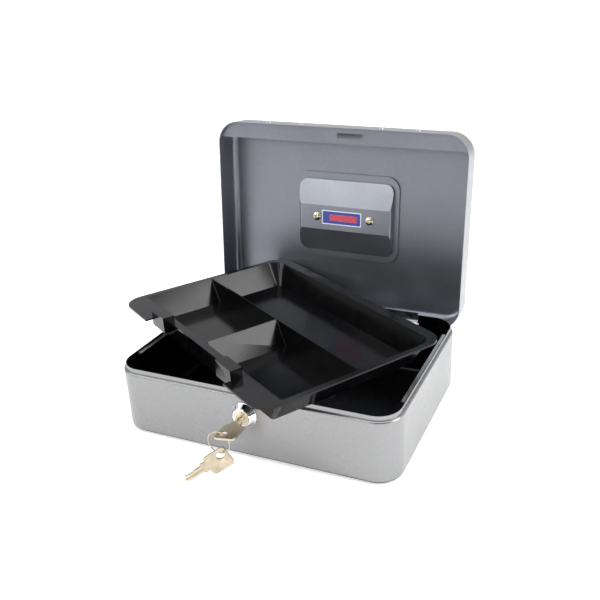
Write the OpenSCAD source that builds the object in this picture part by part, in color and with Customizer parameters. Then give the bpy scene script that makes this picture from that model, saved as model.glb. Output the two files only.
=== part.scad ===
// Cash box with lid, cam lock, two keys and a coin tray.
// Frame: origin on the underside at the middle of the base. +X to the right, +Y to the back, +Z up.
// Rest state: lid open on its stop, tray lying askew on the base, key in the open lock.

/* [Box] */
// Outer width of base and lid
box_w = 250; // [200:1:320]
// Outer depth of base and lid
box_d = 181.4; // [150:0.1:240]
// Plan radius of the corners
corner_r = 21; // [12:0.5:30]
// Sheet thickness of base and lid
sheet = 0.8; // [0.6:0.1:1.2]
// Height of the base up to its shoulder
shoulder_z = 57.2; // [45:0.1:80]
// Height of the raised lip above the shoulder
lip_h = 4; // [3:0.1:6]
// Step in from the outer wall to the lip
lip_in = 2; // [1.5:0.1:3]
// Radius between the floor and the walls
floor_r = 5; // [3:0.1:8]
// Radius on the shoulder
shoulder_r = 1.8; // [1.6:0.1:2.4]

/* [Lid] */
// Gap between the shoulder and the closed lid's rim
rim_gap = 0.3; // [0.2:0.1:1]
// Height of the lid
lid_h = 28.3; // [20:0.1:40]
// Radius around the lid's top
lid_r = 6; // [3:0.1:8]
// Opening angle at the stop
lid_open = 95.77; // [0:0.01:100]

/* [Handle recess] */
// Width of the shallow outer step
step_w = 106; // [90:1:120]
// Depth front to back of the outer step
step_d = 83; // [70:1:95]
// How far the outer step is pressed in
step_in = 2; // [1:0.1:3]
// Width of the inner trough
trough_w = 96; // [80:1:104]
// Front to back size of the inner trough
trough_d = 69.5; // [60:0.5:80]
// Depth of the trough's flat middle
trough_in = 9; // [6:0.1:12]

/* [Hinge] */
// Height of the hinge axis
hinge_z = 51.85; // [45:0.05:56]
// Hinge pin radius
pin_r = 1.6; // [1:0.05:2]
// Knuckle outer radius
knuckle_r = 2.7; // [2:0.05:4]
// Running clearance of the lid knuckle on the pin
pin_gap = 0.05; // [0.01:0.01:0.1]
// Half length of the whole hinge
hinge_half = 87; // [60:0.5:100]
// Half length of the middle knuckle
mid_half = 49.8; // [30:0.1:60]

/* [Lock] */
// Sideways place of the lock axis
lock_x = -1.5; // [-10:0.1:10]
// Height of the lock axis
lock_z = 40.6; // [30:0.1:45]
// Plug radius
plug_r = 6.25; // [5:0.05:8]
// Running clearance of the plug
plug_gap = 0.05; // [0.01:0.01:0.1]
// How far the escutcheon stands proud
cone_h = 5.8; // [3:0.1:8]
// Reach of the cam's hook from the lock axis
hook_r = 22.5; // [22:0.1:24]

/* [Keys] */
// Key blank thickness
key_t = 1.8; // [1.5:0.1:2.5]
// Width of the key bow
bow_w = 18.5; // [16:0.5:24]
// Length of the key bow
bow_l = 19; // [16:0.5:26]
// Sideways shift of the bow from the blade
bow_shift = 1.5; // [-4:0.1:4]
// Turn of the key from level in the unlocked state
key_rest = 8; // [0:1:15]
// Radius of the hole in the bow
key_hole_r = 3.4; // [3:0.1:4]
// Width of the strip beside the hole
key_strip = 2.4; // [2:0.1:3]
// Mid radius of the key ring
ring_r = 9.5; // [8:0.1:12]
// Wire radius of the key ring
ring_wire = 0.5; // [0.4:0.05:0.8]
// Turn of the spare key's face away from the front
spare_yaw = 36; // [30:1:45]
// Slope of the hanging spare key below the horizontal
spare_dip = 27.5; // [20:0.5:60]

/* [Coin tray] */
// Overall width of the tray
tray_w = 244; // [220:0.1:244]
// Overall depth of the tray
tray_d = 175.4; // [150:0.1:175]
// Height of the tray from floor to flange top
tray_h = 22.2; // [18:0.1:24]
// Moulded wall thickness
tray_t = 1.4; // [1:0.1:2]
// Turn of the tray on the base
tray_yaw = -31.2; // [-35:0.1:0]
// Tray centre, sideways
tray_x = -13.9; // [-30:0.1:30]
// Tray centre, front to back
tray_y = -8.6; // [-30:0.1:30]
// Height of the tray's underside
tray_z = 63.3; // [62:0.05:70]

/* [Output] */
// Which piece to draw

/* [Hidden] */
$fn = 48;
e = 0.01;
hw = box_w / 2;
hd = box_d / 2;
lip_top = shoulder_z + lip_h;
// The hinge pin lies against the inside of the base's back wall
hinge_y = hd - sheet - knuckle_r;
leaf_t = 1;
rim_z = shoulder_z + rim_gap;
lid_top = rim_z + lid_h;
recess_x = 1;
recess_y = -2;
post_x = 27.5;
post_y = -1.7;
end_wall = 1.6;
trough_floor = lid_top - trough_in;
pivot_z = trough_floor + 4.7;
bail_r = 2;
bail_leg_x = 37.5;
bail_reach = 30;
bail_rest = 6;
plug_face = -hd - cone_h + 0.3;
plug_back = -84;
cam_front = -84;
cam_t = 2;
rail_z = lip_top + 0.1;
rail_t = 0.6;
hole_u = -bow_l + 5.8;
hole_v = bow_w / 2 - key_strip - key_hole_r - bow_shift;
key_tip = 20;
bow_y = -107.6;
ring_y = bow_y + hole_u;
strip_v = bow_w / 2 - key_strip / 2 - bow_shift;
strip_x = lock_x - strip_v * cos(key_rest);
strip_z = lock_z - strip_v * sin(key_rest);
ring_drop = 7.4;

// ---------- shared shapes ----------
module plan(w, d, r) {
  square([w, d - 2 * r], center = true);
  square([w - 2 * r, d], center = true);
  for (sx = [-1, 1])
    for (sy = [-1, 1])
      translate([sx * (w / 2 - r), sy * (d / 2 - r)])
        circle(r);
}

module slab(w, d, r, h) {
  linear_extrude(h)
    plan(w, d, r);
}

// Right half of a wall profile with a radius at the bottom and one at the top
module half_profile(w, h, rb, rt) {
  translate([0, rb])
    square([w, h - rb - rt]);
  square([w - rb, h - rt]);
  translate([0, rb])
    square([w - rt, h - rb]);
  translate([w - rb, rb])
    circle(rb);
  translate([w - rt, h - rt])
    circle(rt);
}

module full_profile(w, h, rb, rt) {
  half_profile(w, h, rb, rt);
  mirror([1, 0])
    half_profile(w, h, rb, rt);
}

// Box with rounded corners in plan and radii around its bottom and its top
module pressed(w, d, h, r, rb, rt) {
  for (sx = [-1, 1])
    for (sy = [-1, 1])
      translate([sx * (w / 2 - r), sy * (d / 2 - r), 0])
        rotate_extrude()
          half_profile(r, h, rb, rt);
  rotate([90, 0, 0])
    linear_extrude(d - 2 * r, center = true)
      full_profile(w / 2, h, rb, rt);
  rotate([90, 0, 90])
    linear_extrude(w - 2 * r, center = true)
      full_profile(d / 2, h, rb, rt);
}

module at_hinge_open() {
  translate([0, hinge_y, hinge_z])
    rotate([-lid_open, 0, 0])
      translate([0, -hinge_y, -hinge_z])
        children();
}

module along_x(x0, x1, y, z, r) {
  translate([x0, y, z])
    rotate([0, 90, 0])
      cylinder(h = x1 - x0, r = r);
}

module along_y(y0, y1, x, z, r) {
  translate([x, y0, z])
    rotate([-90, 0, 0])
      cylinder(h = y1 - y0, r = r);
}

module block(x0, x1, y0, y1, z0, z1) {
  translate([x0, y0, z0])
    cube([x1 - x0, y1 - y0, z1 - z0]);
}

// ---------- base ----------
module base_shell() {
  color([0.70, 0.71, 0.72])
    difference() {
      union() {
        pressed(box_w, box_d, shoulder_z, corner_r, floor_r, shoulder_r);
        translate([0, 0, shoulder_z - 4])
          slab(box_w - 2 * lip_in, box_d - 2 * lip_in, corner_r - lip_in, lip_h + 4);
      }
      translate([0, 0, sheet])
        pressed(box_w - 2 * sheet, box_d - 2 * sheet, shoulder_z - 2 * sheet,
          corner_r - sheet, floor_r - sheet, shoulder_r - sheet);
      translate([0, 0, shoulder_z - 6])
        slab(box_w - 2 * (lip_in + sheet), box_d - 2 * (lip_in + sheet), corner_r - lip_in - sheet, 14);
      // room for the hinge leaf at the back of the lip
      block(-hinge_half - 0.5, hinge_half + 0.5, hd - 5, hd + 2, 56, lip_top + 2);
      // window for the lid's knuckle and leaf
      block(-mid_half - 0.7, mid_half + 0.7, hd - 2, hd + 2, 47.5, lip_top + 2);
      along_y(-hd - 2, -hd + 2, lock_x, lock_z, 8.45);
      for (x = [-70, -24, 24, 70])
        along_y(hd - 2, hd + 2, x, 41, 1.6);
    }
}

// Angle strips on the inside of the lip, which carry the tray's side flanges when it is stored
module ledge() {
  block(hw - lip_in - sheet - 0.8, hw - lip_in - sheet, -60, 60, 56.4, 59.7);
  block(hw - lip_in - sheet - 3.6, hw - lip_in - sheet, -60, 60, 58.9, 59.7);
}

module tray_ledge_left() {
  color([0.62, 0.63, 0.65])
    mirror([1, 0, 0])
      ledge();
}

module tray_ledge_right() {
  color([0.62, 0.63, 0.65])
    ledge();
}

// ---------- hinge ----------
module knuckle(x0, x1, bore) {
  difference() {
    along_x(x0, x1, hinge_y, hinge_z, knuckle_r);
    along_x(x0 - 1, x1 + 1, hinge_y, hinge_z, bore);
  }
}

module hinge_leaf_base() {
  color([0.66, 0.67, 0.69]) {
    knuckle(-hinge_half, -mid_half - 0.5, pin_r);
    knuckle(mid_half + 0.5, hinge_half, pin_r);
    difference() {
      union() {
        block(-hinge_half, hinge_half, hd - sheet - leaf_t, hd - sheet, 36, 55.3);
        block(-hinge_half, hinge_half, hd - 2.1, hd - 1.2, 54, tray_z - 0.1);
      }
      block(-mid_half - 0.5, mid_half + 0.5, hd - 5, hd + 5, 47, tray_z + 2);
      along_x(-hinge_half - 1, hinge_half + 1, hinge_y, hinge_z, pin_r);
      for (x = [-70, -24, 24, 70])
        along_y(hd - 5, hd + 2, x, 41, 1.6);
    }
  }
}

module hinge_pin() {
  color([0.75, 0.75, 0.77])
    along_x(-hinge_half - 1.4, hinge_half + 1.4, hinge_y, hinge_z, pin_r);
}

module hinge_leaf_lid() {
  color([0.66, 0.67, 0.69])
    at_hinge_open() {
      knuckle(-mid_half, mid_half, pin_r + pin_gap);
      difference() {
        block(-mid_half, mid_half, hd - sheet - leaf_t, hd - sheet, hinge_z, 75);
        along_x(-mid_half - 1, mid_half + 1, hinge_y, hinge_z, pin_r + pin_gap);
        for (x = [-38, -13, 13, 38])
          along_y(hd - 5, hd + 2, x, 67, 1.6);
      }
    }
}

module rivet(x, z) {
  along_y(hd - sheet - leaf_t - 0.7, hd + 0.6, x, z, 1.6);
  along_y(hd - sheet - leaf_t - 0.7, hd - sheet - leaf_t, x, z, 3);
  along_y(hd, hd + 0.6, x, z, 3);
}

module hinge_rivets_base() {
  color([0.72, 0.72, 0.74])
    for (x = [-70, -24, 24, 70])
      rivet(x, 41);
}

module hinge_rivets_lid() {
  color([0.72, 0.72, 0.74])
    at_hinge_open()
      for (x = [-38, -13, 13, 38])
        rivet(x, 67);
}

// ---------- lid ----------
// Shallow pan with rounded corners in plan and a radius around its floor
module pan_half(w, h, rb) {
  translate([0, rb])
    square([w, h - rb]);
  square([w - rb, h]);
  translate([w - rb, rb])
    circle(rb);
}

module pan(w, d, h, r, rb) {
  for (sx = [-1, 1])
    for (sy = [-1, 1])
      translate([sx * (w / 2 - r), sy * (d / 2 - r), 0])
        rotate_extrude()
          pan_half(r, h, rb);
  rotate([90, 0, 0])
    linear_extrude(d - 2 * r, center = true) {
      pan_half(w / 2, h, rb);
      mirror([1, 0])
        pan_half(w / 2, h, rb);
    }
  rotate([90, 0, 90])
    linear_extrude(w - 2 * r, center = true) {
      pan_half(d / 2, h, rb);
      mirror([1, 0])
        pan_half(d / 2, h, rb);
    }
}

// The recess as seen from outside; grow is the sheet thickness when the inside face is wanted
module recess(grow) {
  top = grow > 0 ? 0 : 2;
  translate([recess_x, recess_y, lid_top - step_in - grow])
    slab(step_w + 2 * grow, step_d + 2 * grow, 12 + grow, step_in + grow + top);
  intersection() {
    translate([recess_x, recess_y, lid_top - trough_in - grow])
      pan(trough_w + 2 * grow, trough_d + 2 * grow, trough_in + grow + top, 7.5 + grow, 2.5 + grow);
    translate([-box_w / 2, recess_y, lid_top - grow])
      rotate([90, 0, 90])
        linear_extrude(box_w)
          polygon([[-trough_d / 2 - grow, grow + top], [trough_d / 2 + grow, grow + top],
            [trough_d / 2 + grow, -step_in - end_wall], [13, -trough_in], [-11, -trough_in],
            [-trough_d / 2 - grow, -step_in - end_wall]]);
  }
}

module lid_shell() {
  color([0.70, 0.71, 0.72])
    at_hinge_open()
      difference() {
        union() {
          difference() {
            translate([0, 0, rim_z - 14])
              pressed(box_w, box_d, lid_h + 14, corner_r, floor_r, lid_r);
            translate([0, 0, rim_z - 14 - sheet])
              pressed(box_w - 2 * sheet, box_d - 2 * sheet, lid_h + 14, corner_r - sheet,
                floor_r - sheet, lid_r - sheet);
          }
          recess(sheet);
        }
        recess(0);
        translate([0, 0, rim_z - 50])
          slab(box_w + 10, box_d + 10, 10, 50);
        for (x = [-post_x, post_x])
          translate([x, post_y, trough_floor - 2])
            cylinder(h = 4, r = 1.75);
        for (x = [-38, -13, 13, 38])
          along_y(hd - 2, hd + 2, x, 67, 1.6);
        for (x = [-75, -40, 40, 75])
          along_y(-hd - 2, -hd + 2, x, 67, 1.5);
      }
}

module latch_rail() {
  color([0.66, 0.67, 0.69])
    at_hinge_open()
      difference() {
        union() {
          intersection() {
            translate([0, 0, rail_z])
              slab(box_w - 2 * sheet - 0.1, box_d - 2 * sheet - 0.1, corner_r - sheet, rail_t);
            block(-hw, hw, -hd, -75.5, rail_z - 1, rail_z + 2);
          }
          block(-90, 90, -hd + sheet, -hd + sheet + 0.6, rail_z, 72);
          block(-104, 104, -76.1, -75.5, rail_z, rail_z + 3);
        }
        block(-1, 24, -85.2, -80.7, rail_z - 1, rail_z + 2);
        for (x = [-75, -40, 40, 75])
          along_y(-hd - 2, -hd + 2, x, 67, 1.5);
      }
}

module rail_rivets() {
  color([0.72, 0.72, 0.74])
    at_hinge_open()
      for (x = [-75, -40, 40, 75]) {
        along_y(-hd - 0.5, -hd + 2, x, 67, 1.5);
        along_y(-hd - 0.5, -hd, x, 67, 2.6);
        along_y(-hd + sheet + 0.6, -hd + 2, x, 67, 2.6);
      }
}

// ---------- carry handle ----------
module post(side) {
  color([0.80, 0.81, 0.83])
    at_hinge_open()
      difference() {
        union() {
          block(side * post_x - 3.8, side * post_x + 3.8, post_y - 4.3, post_y + 4.3,
            trough_floor, pivot_z);
          along_x(side * post_x - 3.8, side * post_x + 3.8, post_y, pivot_z, 4.3);
        }
        along_x(side * post_x + min(side * -2.2, side * 6), side * post_x + max(side * -2.2, side * 6),
          post_y, pivot_z, bail_r + 0.05);
        translate([side * post_x, post_y, trough_floor - 1])
          cylinder(h = 3.4, r = 1.7);
      }
}

module handle_post_left() {
  post(-1);
}

module handle_post_right() {
  post(1);
}

module cross_recess(size, depth) {
  cube([size, size * 0.28, 2 * depth], center = true);
  cube([size * 0.28, size, 2 * depth], center = true);
}

module handle_screw(side) {
  color([0.78, 0.79, 0.81])
    at_hinge_open()
      translate([side * post_x, post_y, trough_floor - sheet])
        rotate([180, 0, 0])
          difference() {
            union() {
              intersection() {
                cylinder(h = 2.2, r = 4.2);
                translate([0, 0, -5])
                  sphere(r = 7.2);
              }
              translate([0, 0, -3])
                cylinder(h = 3.1, r = 1.7);
            }
            translate([0, 0, 2.2])
              cross_recess(4, 1.3);
          }
}

module handle_screw_left() {
  handle_screw(-1);
}

module handle_screw_right() {
  handle_screw(1);
}

module elbow(r, w) {
  rotate_extrude(angle = 90)
    translate([r, 0])
      circle(w);
}

module bail_half() {
  along_x(25.6, bail_leg_x - 5, 0, 0, bail_r);
  translate([bail_leg_x - 5, 5, 0])
    rotate([0, 0, -90])
      elbow(5, bail_r);
  along_y(5, bail_reach - 7, bail_leg_x, 0, bail_r);
  translate([bail_leg_x - 7, bail_reach - 7, 0])
    elbow(7, bail_r);
  along_x(0, bail_leg_x - 7, bail_reach, 0, bail_r);
}

module handle_bail() {
  color([0.82, 0.83, 0.85])
    at_hinge_open()
      translate([0, post_y, pivot_z])
        rotate([bail_rest, 0, 0]) {
          bail_half();
          mirror([1, 0, 0])
            bail_half();
        }
}

// ---------- label ----------
module on_plateau(z0) {
  at_hinge_open()
    translate([-1.7, -1.5, trough_floor - sheet - z0])
      children();
}

module label_sheet() {
  color([0.86, 0.88, 0.90])
    on_plateau(0.15)
      slab(41.4, 14, 1.2, 0.15);
}

module label_panel() {
  color([0.16, 0.36, 0.62])
    on_plateau(0.25)
      difference() {
        slab(39.4, 12, 0.8, 0.1);
        translate([2, 0, -1])
          linear_extrude(3)
            square([28.2, 6.2], center = true);
      }
}

module label_stripe() {
  color([0.80, 0.30, 0.26])
    on_plateau(0.25)
      translate([-12, -3, 0])
        cube([28, 6, 0.1]);
}

// ---------- lock ----------
module at_lock() {
  translate([lock_x, 0, lock_z])
    children();
}

module turned() {
  at_lock()
    rotate([0, -key_rest, 0])
      children();
}

module lock_body() {
  color([0.80, 0.81, 0.83])
    at_lock()
      difference() {
        union() {
          translate([0, -hd - cone_h, 0])
            rotate([-90, 0, 0])
              cylinder(h = cone_h - 0.8, r1 = 7.5, r2 = 10.8);
          along_y(-hd - 0.8, -hd, 0, 0, 11);
          along_y(-hd - 1, plug_back - 0.4, 0, 0, 8.4);
        }
        along_y(-hd - 10, plug_back + 2, 0, 0, plug_r + plug_gap);
      }
}

module lock_washer() {
  color([0.70, 0.70, 0.72])
    at_lock()
      difference() {
        along_y(-hd + sheet, -hd + sheet + 0.6, 0, 0, 12);
        along_y(-hd, -hd + 4, 0, 0, 8.45);
      }
}

module lock_nut() {
  color([0.74, 0.74, 0.76])
    at_lock()
      difference() {
        translate([0, -hd + sheet + 0.6, 0])
          rotate([-90, 0, 0])
            cylinder(h = 3, r = 12.4, $fn = 6);
        along_y(-hd, -hd + 6, 0, 0, 8.42);
      }
}

wafer_y = [-94.6, -92.6, -90.6, -88.6];

module lock_plug() {
  color([0.72, 0.68, 0.60])
    turned()
      difference() {
        union() {
          along_y(plug_face, plug_back, 0, 0, plug_r);
          block(-3.5, 3.5, plug_back - 1, cam_front + cam_t, -3.5, 3.5);
        }
        block(-3, 3, plug_face - 1, -87.3, -1, 1);
        along_y(plug_face - 1, plug_face + 0.4, 0, 0, 4.3);
        for (y = wafer_y)
          block(-4.25, 4.25, y - 0.5, y + 0.5, -4.4, 4.4);
        along_y(-86.6, -80, 0, 0, 1.5);
      }
}

module lock_wafers() {
  color([0.78, 0.66, 0.38])
    turned()
      for (y = wafer_y)
        difference() {
          block(-4.15, 4.15, y - 0.42, y + 0.42, -4.3, 4.3);
          block(-3.1, 3.1, y - 1, y + 1, -1.1, 1.1);
        }
}

// Hooked plate: the arm passes through the rail's slot, the barb closes over the rail
module cam_plan() {
  circle(8.5);
  intersection() {
    circle(hook_r);
    polygon([[0, 0], [30 * cos(25), -30 * sin(25)], [40, -12], [30 * cos(9), -30 * sin(9)]]);
  }
  difference() {
    intersection() {
      circle(hook_r);
      polygon([[0, 0], [30 * cos(20), -30 * sin(20)], [40, 0], [30 * cos(7), 30 * sin(7)]]);
    }
    circle(hook_r - 0.85);
  }
}

module lock_cam() {
  color([0.70, 0.71, 0.73])
    turned()
      difference() {
        translate([0, cam_front + cam_t, 0])
          rotate([90, 0, 0])
            linear_extrude(cam_t)
              cam_plan();
        block(-3.52, 3.52, cam_front - 1, cam_front + cam_t + 1, -3.52, 3.52);
      }
}

module cam_washer() {
  color([0.70, 0.70, 0.72])
    turned()
      difference() {
        along_y(cam_front + cam_t, cam_front + cam_t + 0.6, 0, 0, 5.6);
        along_y(cam_front + cam_t - 1, cam_front + cam_t + 2, 0, 0, 1.55);
      }
}

module cam_screw() {
  color([0.74, 0.75, 0.77])
    turned()
      difference() {
        union() {
          along_y(-86.5, cam_front + cam_t + 1, 0, 0, 1.5);
          along_y(cam_front + cam_t + 0.6, cam_front + cam_t + 2.6, 0, 0, 3.3);
        }
        translate([0, cam_front + cam_t + 2.6, 0])
          rotate([90, 0, 0])
            cross_recess(3.4, 1.1);
      }
}

// ---------- keys ----------
// Blade along +X from the edge of the bow, bow on the -X side
module key_plan() {
  difference() {
    union() {
      translate([-bow_l / 2, -bow_shift])
        plan(bow_l, bow_w, 3);
      translate([-1, -4.6])
        square([5.2, 9.2]);
      polygon([[3, -2.9], [key_tip - 2, -2.9], [key_tip, -0.9], [key_tip, 0.9], [key_tip - 2, 2.9],
        [key_tip - 3.2, 1.9], [key_tip - 4.4, 2.9], [key_tip - 5.6, 1.6], [key_tip - 7, 2.6],
        [key_tip - 8.2, 2.0], [key_tip - 9.6, 2.9], [3, 2.9]]);
    }
    translate([hole_u, hole_v])
      circle(key_hole_r);
  }
}

module key_blank() {
  difference() {
    linear_extrude(key_t, center = true)
      key_plan();
    for (s = [-1, 1])
      translate([3.4, -0.6, s * key_t / 2 - 0.4])
        cube([key_tip, 1.2, 0.8]);
  }
}

module key_in_lock() {
  color([0.76, 0.68, 0.52])
    turned()
      translate([0, bow_y, 0])
        rotate([0, 0, 90])
          key_blank();
}

module key_ring() {
  color([0.80, 0.80, 0.80])
    translate([strip_x, ring_y, strip_z - ring_drop])
      rotate([90, 0, 0])
        rotate_extrude()
          translate([ring_r, 0])
            circle(ring_wire);
}

module spare_key() {
  color([0.76, 0.68, 0.52])
    translate([strip_x, ring_y, strip_z - ring_drop - ring_r - 2])
      rotate([90, 0, 180 + spare_yaw])
        rotate([0, 0, -spare_dip])
          translate([-hole_u, -hole_v, 0])
            key_blank();
}

// ---------- coin tray ----------
// Sunk space between an upper and a lower rectangle, [left, right, front, back] each, with the
// plan radii of its front corners and of its back corners, [at the top, at the bottom] each
module well(top, low, z1, z0, front_r, back_r) {
  hull() {
    for (ix = [0, 1])
      for (iy = [2, 3]) {
        r1 = iy == 2 ? front_r[0] : back_r[0];
        r0 = iy == 2 ? front_r[1] : back_r[1];
        translate([top[ix] + (ix == 0 ? r1 : -r1), top[iy] + (iy == 2 ? r1 : -r1), z1 - e])
          cylinder(h = e, r = r1);
        translate([low[ix] + (ix == 0 ? r0 : -r0), low[iy] + (iy == 2 ? r0 : -r0), z0])
          cylinder(h = e, r = r0);
      }
  }
}

in_x = 116.8;
low_x = 103.1;
in_back = 78.1;
low_back = 70;
in_front = -66.6;
rib_y = 2;
rib_x = 1.5;
notch_x = 70;
notch_y = -73;

module finger_tab() {
  difference() {
    block(46.5, notch_x, -81.3, notch_y + 2, tray_h - 6, tray_h + 8);
    block(46.5 + tray_t, notch_x - tray_t, -81.3 + tray_t, notch_y + 0.6, tray_h - 7, tray_h + 8 - tray_t);
  }
}

module coin_tray() {
  color([0.06, 0.06, 0.07])
    translate([tray_x, tray_y, tray_z])
      rotate([0, 0, tray_yaw])
        difference() {
          union() {
            difference() {
              translate([0, 0, tray_h - tray_t])
                slab(tray_w, tray_d, 17, tray_t);
              block(-notch_x, notch_x, -tray_d, notch_y, tray_h - 4, tray_h + 1);
            }
            well([-in_x - tray_t, in_x + tray_t, in_front - tray_t, in_back + tray_t],
              [-low_x - tray_t, low_x + tray_t, in_front - tray_t, low_back + tray_t],
              tray_h - e, 0, [3.4, 2.6], [13.4, 5.4]);
            finger_tab();
            mirror([1, 0, 0])
              finger_tab();
          }
          well([-in_x, in_x, rib_y + 0.7, in_back], [-low_x, low_x, rib_y + 0.7, low_back],
            tray_h + e, tray_t, [1.2, 1], [12, 4]);
          well([-in_x, rib_x - 0.7, in_front, rib_y - 0.7],
            [-low_x, rib_x - 14, in_front, rib_y - 0.7], tray_h + e, tray_t, [2, 1.2], [1.2, 1]);
          well([rib_x + 0.7, in_x, in_front, rib_y - 0.7],
            [rib_x + 14, low_x, in_front, rib_y - 0.7], tray_h + e, tray_t, [2, 1.2], [1.2, 1]);
          // hollow under the sloped divider
          translate([0, rib_y - 0.7, 0])
            rotate([90, 0, 0])
              linear_extrude(rib_y - 0.7 - in_front)
                polygon([[rib_x - 13, -1], [rib_x - 12.4, -1], [rib_x + 12.4, -1], [rib_x + 12, 0], [rib_x, tray_h - 3],
                  [rib_x - 12, 0]]);
        }
}

// ---------- output ----------
base_shell();
tray_ledge_left();
tray_ledge_right();
lid_shell();
latch_rail();
hinge_leaf_base();
hinge_pin();
hinge_leaf_lid();
hinge_rivets_base();
hinge_rivets_lid();
rail_rivets();
handle_post_left();
handle_post_right();
handle_screw_left();
handle_screw_right();
handle_bail();
label_sheet();
label_panel();
label_stripe();
lock_body();
lock_washer();
lock_nut();
lock_plug();
lock_wafers();
lock_cam();
cam_washer();
cam_screw();
key_in_lock();
key_ring();
spare_key();
coin_tray();
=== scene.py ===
"""Open cash box with an askew coin tray, keys in the lock, on a pale studio floor."""
import math

import bpy
from mathutils import Matrix, Vector

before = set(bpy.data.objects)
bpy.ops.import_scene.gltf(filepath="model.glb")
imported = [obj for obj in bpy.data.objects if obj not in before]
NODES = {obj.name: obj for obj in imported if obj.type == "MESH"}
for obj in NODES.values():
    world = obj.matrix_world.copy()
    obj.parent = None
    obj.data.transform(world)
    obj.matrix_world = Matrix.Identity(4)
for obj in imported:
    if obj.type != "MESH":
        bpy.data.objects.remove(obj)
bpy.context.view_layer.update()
SCENE = bpy.context.scene

# Opening angle of the lid at rest, and its hinge axis as (y, z) in metres
LID_OPEN = math.radians(95.77)
HINGE_AXIS = (0.0872, 0.05185)
# Wells where the inside is darkened as painted shade: half width, half depth, corner radius,
# lowest and highest z
BASE_SHADE_WELLS = ((0.1246, 0.0903, 0.0206, 0.0007, 0.0566),
              (0.1226, 0.0883, 0.0186, 0.0500, 0.0700))
LID_SHADE_WELLS = ((0.1246, 0.0903, 0.0206, 0.0, 0.0854),)
FLOOR_SIZE = 60
FLOOR_GLOW = 0.38


# ---------- node material helpers ----------
class Mat:
    """A Principled material with short ways to add procedural detail."""

    def __init__(self, name, **inputs):
        self.mat = bpy.data.materials.new(name)
        self.mat.use_nodes = True
        self.nt = self.mat.node_tree
        self.bsdf = self.nt.nodes["Principled BSDF"]
        for key, value in inputs.items():
            self.bsdf.inputs[key.replace("_", " ")].default_value = value
        self.coord = self.nt.nodes.new("ShaderNodeTexCoord").outputs["Object"]

    def node(self, kind, links=None, **values):
        n = self.nt.nodes.new(kind)
        for key, value in values.items():
            if hasattr(n, key):
                setattr(n, key, value)
            else:
                n.inputs[key.replace("_", " ")].default_value = value
        for socket, source in (links or {}).items():
            self.nt.links.new(source, n.inputs[socket])
        return n

    def noise(self, scale, detail=3.0, rough=0.55, stretch=(1, 1, 1), turn=(0, 0, 0)):
        mapping = self.node("ShaderNodeMapping", {"Vector": self.coord})
        mapping.inputs["Scale"].default_value = stretch
        mapping.inputs["Rotation"].default_value = turn
        return self.node("ShaderNodeTexNoise", {"Vector": mapping.outputs["Vector"]},
                         Scale=scale, Detail=detail, Roughness=rough).outputs["Fac"]

    def ramp(self, fac, stops):
        n = self.node("ShaderNodeValToRGB", {"Fac": fac})
        el = n.color_ramp.elements
        while len(el) < len(stops):
            el.new(0.5)
        for e, (pos, col) in zip(el, stops):
            e.position = pos
            e.color = (*col, 1) if isinstance(col, tuple) else (col, col, col, 1)
        return n.outputs["Color"]

    def spread(self, fac, low, high):
        n = self.node("ShaderNodeMapRange", {"Value": fac})
        n.inputs["From Min"].default_value = 0.3
        n.inputs["From Max"].default_value = 0.7
        n.inputs["To Min"].default_value = low
        n.inputs["To Max"].default_value = high
        return n.outputs["Result"]

    def mix(self, fac, a, b, mode="MIX"):
        n = self.nt.nodes.new("ShaderNodeMix")
        n.data_type = "RGBA"
        n.blend_type = mode
        for socket, v in (("Factor", fac), ("A", a), ("B", b)):
            target = [i for i in n.inputs if i.name == socket and i.enabled][0]
            if isinstance(v, bpy.types.NodeSocket):
                self.nt.links.new(v, target)
            else:
                target.default_value = v if not isinstance(v, tuple) else (*v, 1)
        return [o for o in n.outputs if o.enabled][0]

    def bump(self, height, distance, strength):
        n = self.node("ShaderNodeBump", {"Height": height})
        n.inputs["Distance"].default_value = distance
        n.inputs["Strength"].default_value = strength
        return n.outputs["Normal"]

    def set(self, socket, source):
        self.nt.links.new(source, self.bsdf.inputs[socket])

    def edge_wear(self, low=0.52, high=0.62):
        point = self.node("ShaderNodeNewGeometry").outputs["Pointiness"]
        return self.ramp(point, [(low, 0.0), (high, 1.0)])


def lacquer(name, tone, rough):
    """Metallic silver lacquer: soft flake and slow cloudiness."""
    m = Mat(name, Metallic=0.88)
    flake = m.noise(340, 2.0, 0.5)
    cloud = m.noise(7, 3.0, 0.5)
    base = m.ramp(flake, [(0.30, tuple(c * 0.97 for c in tone)), (0.50, tone),
                          (0.72, tuple(min(1, c * 1.03) for c in tone))])
    shade = m.ramp(cloud, [(0.3, 0.93), (0.7, 1.0)])
    m.set("Base Color", m.mix(1.0, base, shade, "MULTIPLY"))
    m.set("Roughness", m.spread(m.noise(22, 4.0), rough - 0.04, rough + 0.05))
    return m


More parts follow.
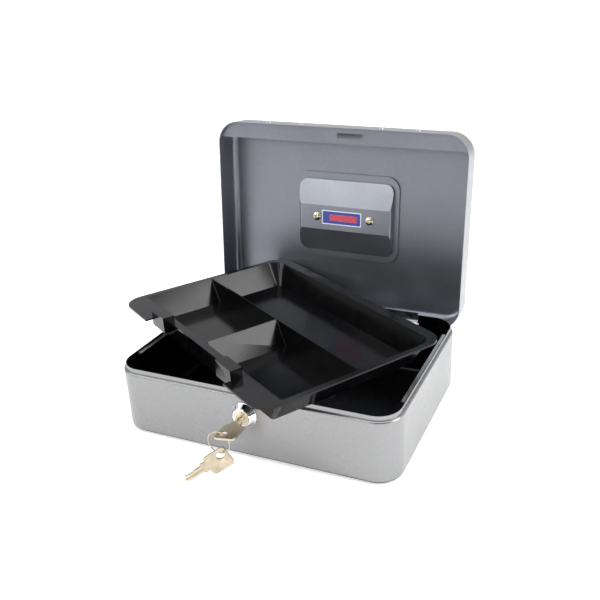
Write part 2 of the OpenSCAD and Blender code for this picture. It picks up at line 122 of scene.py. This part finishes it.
def shade_well_mask(m, place, half_x, half_y, radius, low_z, high_z):
    """1 inside a round-cornered upright well between two heights, 0 outside it: the place of the
    painted shade.
    """
    split = m.node("ShaderNodeSeparateXYZ", {"Vector": place})
    beyond = m.node("ShaderNodeCombineXYZ")
    for axis, half in (("X", half_x), ("Y", half_y)):
        size = m.node("ShaderNodeMath", {0: split.outputs[axis]}, operation="ABSOLUTE").outputs[0]
        past = m.node("ShaderNodeMath", {0: size}, operation="SUBTRACT")
        past.inputs[1].default_value = half - radius
        clip = m.node("ShaderNodeMath", {0: past.outputs[0]}, operation="MAXIMUM")
        clip.inputs[1].default_value = 0.0
        m.nt.links.new(clip.outputs[0], beyond.inputs[axis])
    reach = m.node("ShaderNodeVectorMath", {0: beyond.outputs[0]}, operation="LENGTH")
    within = m.node("ShaderNodeMath", {0: reach.outputs["Value"]}, operation="LESS_THAN")
    within.inputs[1].default_value = radius
    mask = within.outputs[0]
    for limit, test in ((low_z, "GREATER_THAN"), (high_z, "LESS_THAN")):
        level = m.node("ShaderNodeMath", {0: split.outputs["Z"]}, operation=test)
        level.inputs[1].default_value = limit
        mask = m.node("ShaderNodeMath", {0: mask, 1: level.outputs[0]},
                      operation="MULTIPLY").outputs[0]
    return mask


def lacquer_with_painted_shade(name, tone, rough, shade_tone, wells, turn=0.0, pivot=(0, 0)):
    """Lacquer whose tone is multiplied by a darker tone within the given wells: painted shade on
    the inside of the box.

    The wells are stated for the closed box; `turn` about the pivot (y, z) closes the piece.
    """
    m = lacquer(name, tone, rough)
    outer = m.bsdf.inputs["Base Color"].links[0].from_socket
    centre = Vector((0, *pivot))
    place = m.node("ShaderNodeMapping", {"Vector": m.coord})
    place.inputs["Rotation"].default_value = (turn, 0, 0)
    place.inputs["Location"].default_value = centre - Matrix.Rotation(turn, 3, "X") @ centre
    for well in wells:
        mask = shade_well_mask(m, place.outputs["Vector"], *well)
        outer = m.mix(mask, outer, shade_tone, "MULTIPLY")
    m.set("Base Color", outer)
    return m.mat


def plated(name, tone, rough, stretch=(1, 1, 1)):
    """Plated or brushed steel with fine drawn lines and worn edges."""
    m = Mat(name, Metallic=1.0)
    lines = m.noise(900, 4.0, 0.6, stretch)
    base = m.ramp(lines, [(0.35, tuple(c * 0.82 for c in tone)), (0.65, tone)])
    worn = tuple(min(1, c * 1.2) for c in tone)
    m.set("Base Color", m.mix(m.edge_wear(), base, worn))
    m.set("Roughness", m.spread(m.noise(140, 4.0), rough - 0.06, rough + 0.08))
    m.set("Normal", m.bump(lines, 0.00002, 0.4))
    return m.mat


def chrome(name):
    """Bright chrome with slight clouding and handling marks."""
    m = Mat(name, Metallic=1.0)
    m.set("Base Color", m.ramp(m.noise(60, 3.0), [(0.3, (0.74, 0.75, 0.78)),
                                                  (0.7, (0.82, 0.83, 0.85))]))
    m.set("Roughness", m.spread(m.noise(90, 4.0), 0.05, 0.13))
    return m.mat


def key_metal(name, tone, rough):
    """Nickel-brass blank: tumbled faces with fine scratches and brighter edges."""
    m = Mat(name, Metallic=1.0)
    scratch = m.noise(1500, 3.0, 0.7, (1, 0.12, 1), (0.4, 0.2, 0.7))
    stain = m.noise(180, 4.0)
    base = m.ramp(stain, [(0.3, tuple(c * 0.82 for c in tone)), (0.7, tone)])
    m.set("Base Color", m.mix(m.edge_wear(), base, tuple(min(1, c * 1.25) for c in tone)))
    m.set("Roughness", m.spread(scratch, rough - 0.08, rough + 0.1))
    m.set("Normal", m.bump(scratch, 0.00003, 0.5))
    return m.mat


def tray_plastic(name):
    """Glossy black moulding with a slight mould waviness and rubbed edges."""
    m = Mat(name, Specular_IOR_Level=0.26)
    base = m.ramp(m.noise(30, 4.0), [(0.3, (0.0020, 0.0020, 0.0024)),
                                     (0.7, (0.0036, 0.0036, 0.0042))])
    m.set("Base Color", m.mix(m.edge_wear(0.56, 0.68), base, (0.014, 0.014, 0.016)))
    m.set("Roughness", m.spread(m.noise(60, 3.0), 0.13, 0.19))
    m.set("Normal", m.bump(m.noise(26, 2.0), 0.0002, 0.25))
    return m.mat


def printed(name, tone):
    """Printed film with a faint grain and soft gloss."""
    m = Mat(name, Coat_Weight=0.4, Coat_Roughness=0.15)
    m.set("Base Color", m.ramp(m.noise(700, 3.0), [(0.35, tuple(c * 0.88 for c in tone)),
                                                   (0.65, tone)]))
    m.set("Roughness", m.spread(m.noise(240, 3.0), 0.28, 0.42))
    return m.mat


# Painted shade: the base's inside is multiplied near black within its wells, where it lies in
# shadow.
SHELL = lacquer_with_painted_shade("silver_lacquer", (0.285, 0.285, 0.287), 0.28, (0.068, 0.070, 0.078),
                          BASE_SHADE_WELLS)
# Painted shade and painted reflection: the lid's inside is multiplied to a darker bluish grey
# within its well, as it faces the darker surroundings.
LID = lacquer_with_painted_shade("silver_lacquer_lid", (0.325, 0.33, 0.34), 0.34, (0.69, 0.71, 0.78),
                        LID_SHADE_WELLS, LID_OPEN, HINGE_AXIS)
ZINC = plated("zinc_plate", (0.56, 0.57, 0.59), 0.32, (0.08, 1, 1))
DARK_STEEL = plated("lock_steel", (0.50, 0.50, 0.52), 0.36)
CHROME = chrome("bright_chrome")
SCREW = key_metal("screw_nickel", (0.58, 0.54, 0.42), 0.26)
KEY = key_metal("nickel_brass", (0.50, 0.43, 0.32), 0.30)
PLUG = key_metal("plug_brass", (0.66, 0.60, 0.48), 0.28)
WAFER = key_metal("wafer_brass", (0.70, 0.52, 0.22), 0.35)
TRAY = tray_plastic("black_moulding")
PALE = printed("film_pale", (0.74, 0.78, 0.84))
BLUE = printed("film_blue", (0.012, 0.03, 0.30))
RED = printed("film_red", (0.60, 0.03, 0.06))

FINISH = {
    "base_shell": SHELL, "lid_shell": LID, "latch_rail": LID,
    "hinge_leaf_base": ZINC, "hinge_leaf_lid": ZINC, "hinge_pin": ZINC,
    "hinge_rivets_base": ZINC, "hinge_rivets_lid": ZINC, "rail_rivets": ZINC,
    "tray_ledge_left": ZINC, "tray_ledge_right": ZINC,
    "handle_screw_left": SCREW, "handle_screw_right": SCREW, "key_ring": KEY,
    "handle_post_left": CHROME, "handle_post_right": CHROME, "handle_bail": CHROME,
    "lock_body": CHROME, "lock_plug": PLUG, "lock_wafers": WAFER,
    "lock_washer": DARK_STEEL, "lock_nut": DARK_STEEL, "lock_cam": DARK_STEEL,
    "cam_washer": DARK_STEEL, "cam_screw": DARK_STEEL,
    "key_in_lock": KEY, "spare_key": KEY, "coin_tray": TRAY,
    "label_sheet": PALE, "label_panel": BLUE, "label_stripe": RED,
}
# Width in metres of the softened edges, for the pieces whose edges catch the light
SOFT_EDGE = {
    "key_in_lock": 0.00030, "spare_key": 0.00030, "coin_tray": 0.00045, "lock_body": 0.00030,
    "lock_plug": 0.00020, "lock_nut": 0.00030, "handle_post_left": 0.0005,
    "handle_post_right": 0.0005, "handle_screw_left": 0.0002, "handle_screw_right": 0.0002,
    "hinge_leaf_base": 0.0002, "lock_cam": 0.0002,
}

for name, obj in NODES.items():
    obj.data.materials.clear()
    obj.data.materials.append(FINISH[name])
    if name in SOFT_EDGE:
        weld = obj.modifiers.new("weld", "WELD")
        weld.merge_threshold = 0.00001
        bevel = obj.modifiers.new("soft_edge", "BEVEL")
        bevel.width = SOFT_EDGE[name]
        bevel.segments = 2
        bevel.limit_method = "ANGLE"
        bevel.angle_limit = math.radians(32)
        bevel.harden_normals = True

# ---------- floor ----------
bpy.ops.mesh.primitive_plane_add(size=FLOOR_SIZE, location=(0, 0, 0))
floor = bpy.context.object
floor.name = "studio_floor"
paper = Mat("floor_paper", Roughness=0.9, Specular_IOR_Level=0.1, Emission_Strength=FLOOR_GLOW)
paper.set("Base Color", paper.ramp(paper.noise(3, 2.0), [(0.3, 0.90), (0.7, 0.93)]))
paper.bsdf.inputs["Emission Color"].default_value = (1, 1, 1, 1)
floor.data.materials.append(paper.mat)

# ---------- light ----------
world = bpy.data.worlds.new("studio")
SCENE.world = world
world.use_nodes = True
nt = world.node_tree
coord = nt.nodes.new("ShaderNodeTexCoord")
# The sky brightens upwards and towards the back
lean = nt.nodes.new("ShaderNodeVectorMath")
lean.operation = "DOT_PRODUCT"
lean.inputs[1].default_value = (-0.15, 0.45, 0.80)
nt.links.new(coord.outputs["Generated"], lean.inputs[0])
shift = nt.nodes.new("ShaderNodeMapRange")
shift.inputs["From Min"].default_value = -1.0
shift.inputs["From Max"].default_value = 1.0
nt.links.new(lean.outputs["Value"], shift.inputs["Value"])
ramp = nt.nodes.new("ShaderNodeValToRGB")
for stop, (place, tone) in zip(ramp.color_ramp.elements, ((0.36, 0.10), (0.88, 0.95))):
    stop.position = place
    stop.color = (tone * 0.97, tone * 0.98, tone, 1)
nt.links.new(shift.outputs["Result"], ramp.inputs["Fac"])
nt.links.new(ramp.outputs["Color"], nt.nodes["Background"].inputs["Color"])
nt.nodes["Background"].inputs["Strength"].default_value = 1.0


def softbox(name, place, aim, size, power):
    data = bpy.data.lights.new(name, "AREA")
    data.shape = "RECTANGLE"
    data.size, data.size_y = size
    data.energy = power
    lamp = bpy.data.objects.new(name, data)
    SCENE.collection.objects.link(lamp)
    lamp.location = place
    lamp.rotation_euler = (Vector(aim) - Vector(place)).to_track_quat("-Z", "Y").to_euler()


softbox("top_box", (0.1, -0.1, 1.5), (0, 0, 0), (1.4, 1.2), 9)
softbox("front_box", (-0.75, -1.75, 1.05), (0, 0.1, 0.17), (1.4, 0.7), 13)
softbox("left_box", (-1.3, -0.7, 0.9), (0, 0, 0.05), (0.9, 1.1), 9)
softbox("right_box", (1.4, 0.1, 0.7), (0, 0, 0.05), (0.8, 1.0), 22)

# ---------- camera ----------
AZIMUTH, ELEVATION, ROLL = (math.radians(a) for a in (22.1, 24.05, -1.35))
CAMERA_PLACE = (0.26976, -0.52954, 0.36706)
back = Vector((math.sin(AZIMUTH) * math.cos(ELEVATION),
               -math.cos(AZIMUTH) * math.cos(ELEVATION), math.sin(ELEVATION)))
right = Vector((0, 0, 1)).cross(back).normalized()
up = back.cross(right)
cam_x = math.cos(ROLL) * right + math.sin(ROLL) * up
cam_y = -math.sin(ROLL) * right + math.cos(ROLL) * up
camera_data = bpy.data.cameras.new("camera")
camera = bpy.data.objects.new("camera", camera_data)
SCENE.collection.objects.link(camera)
camera.matrix_world = Matrix.Translation(CAMERA_PLACE) @ Matrix(
    (cam_x, cam_y, back)).transposed().to_4x4()
camera_data.sensor_width = 36
camera_data.lens = 45.18
camera_data.shift_x = -0.0842
camera_data.shift_y = -0.004
camera_data.clip_start = 0.02
SCENE.camera = camera
SCENE.view_settings.view_transform = "Standard"
